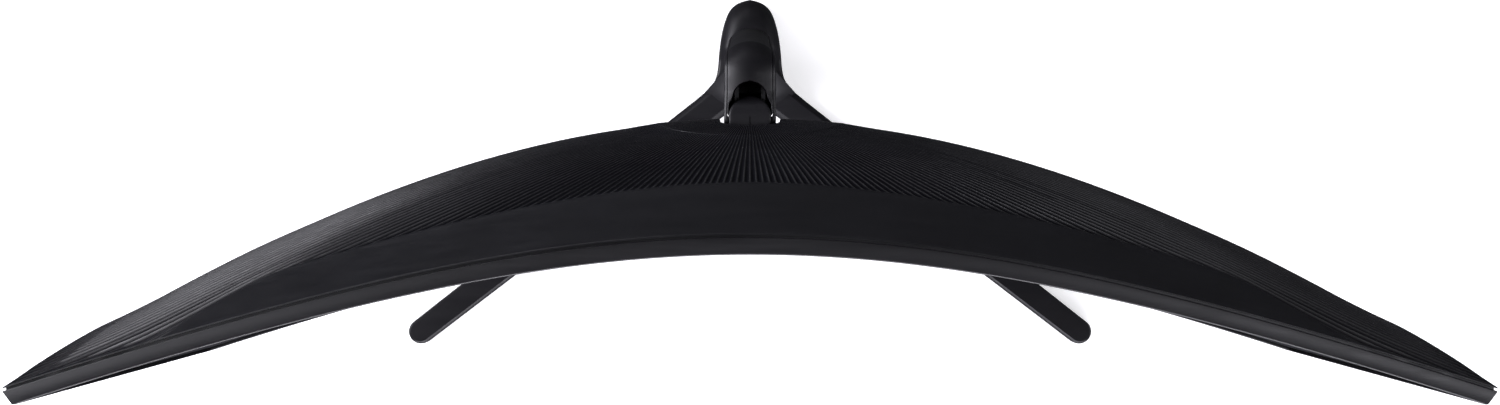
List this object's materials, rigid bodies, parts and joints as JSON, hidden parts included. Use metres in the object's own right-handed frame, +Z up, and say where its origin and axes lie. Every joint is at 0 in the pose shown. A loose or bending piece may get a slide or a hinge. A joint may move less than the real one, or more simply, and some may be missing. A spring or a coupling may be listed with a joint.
{
  "type": "computer monitor",
  "caption": "Curved ultrawide desktop monitor with a ribbed back, on a tilting column with a V-shaped base.",
  "frame": {"origin": "centre of the bounding box at the desk, under the feet", "axes": "+Z up, the screen faces -Y, +X is the viewer's right"},
  "size_m": [0.8066, 0.2727, 0.4752],
  "materials": {
    "frame_plastic": "fine satin texture",
    "screen_glass": "anti-glare matte film over glass",
    "film": "white film",
    "acrylic": "clear acrylic",
    "inner_plastic": "plain moulded",
    "sheet_metal": "plain sheet",
    "led_board": "white solder mask",
    "circuit_board": "green solder mask",
    "cable_film": "flat cable film",
    "screw_steel": "zinc plated",
    "socket_metal": "nickel plated",
    "socket_plastic": "plain moulded",
    "bracket_steel": "zinc plated",
    "cover_plastic": "fine satin texture",
    "dark_screw": "black oxide",
    "lens": "clear light pipe",
    "switch_plastic": "plain moulded",
    "cap_plastic": "fine satin texture",
    "hinge_steel": "plain",
    "spring_steel": "spring steel",
    "core_steel": "black coated steel",
    "stand_plastic": "fine satin texture",
    "foot_rubber": "soft rubber"
  },
  "bodies": {
    "stand": {"column_head": "hinge_steel", "hinge_shaft": "screw_steel", "friction_washers": "spring_steel", "shaft_nut": "screw_steel", "column_core": "core_steel", "column_front_cover": "stand_plastic", "column_rear_cover": "stand_plastic", "base_core": "core_steel", "base_cover": "stand_plastic", "base_feet": "foot_rubber", "base_thumbscrew": "screw_steel"},
    "head": {"front_frame": "frame_plastic", "lcd_cell": "screen_glass", "optical_sheets": "film", "light_guide": "acrylic", "reflector_sheet": "film", "mid_frame": "inner_plastic", "backlight_tray": "sheet_metal", "led_bar": "led_board", "source_board": "circuit_board", "timing_board": "circuit_board", "flat_cable": "cable_film", "main_board": "circuit_board", "board_shield": "sheet_metal", "board_screws": "screw_steel", "display_port": "socket_metal", "video_port": "socket_metal", "audio_jack": "socket_plastic", "dc_inlet": "socket_plastic", "mount_bracket": "bracket_steel", "rear_cover": "cover_plastic", "cover_screws": "dark_screw", "lock_plate": "bracket_steel", "power_lens": "lens", "joystick_switch": "circuit_board", "arm_plate": "hinge_steel", "arm_screws": "dark_screw", "mount_cap": "cover_plastic", "neck_shell": "cover_plastic"},
    "stick_ring": {"joystick_yoke": "switch_plastic"},
    "stick_lever": {"joystick_lever": "switch_plastic"},
    "stick_cap": {"joystick_cap": "cap_plastic"}
  },
  "joints": [
    {"name": "tilt", "type": "hinge", "parent": "stand", "child": "head", "pos_m": [0, 0.03, 0.294], "axis": [-1, 0, 0], "range_deg": [-2, 18]},
    {"name": "stick_left_right", "type": "hinge", "parent": "head", "child": "stick_ring", "pos_m": [0.30476, -0.08921, 0.142], "axis": [0, 0, 1], "range_deg": [-7, 7], "stiffness_Nm_per_rad": 0.05},
    {"name": "stick_up_down", "type": "hinge", "parent": "stick_ring", "child": "stick_lever", "pos_m": [0.30476, -0.08921, 0.142], "axis": [0.9511, -0.309, 0], "range_deg": [-7, 7], "stiffness_Nm_per_rad": 0.05},
    {"name": "stick_press", "type": "slide", "parent": "stick_lever", "child": "stick_cap", "axis": [-0.309, -0.9511, 0], "range_m": [0, 0.0008], "stiffness_N_per_m": 900}
  ]
}
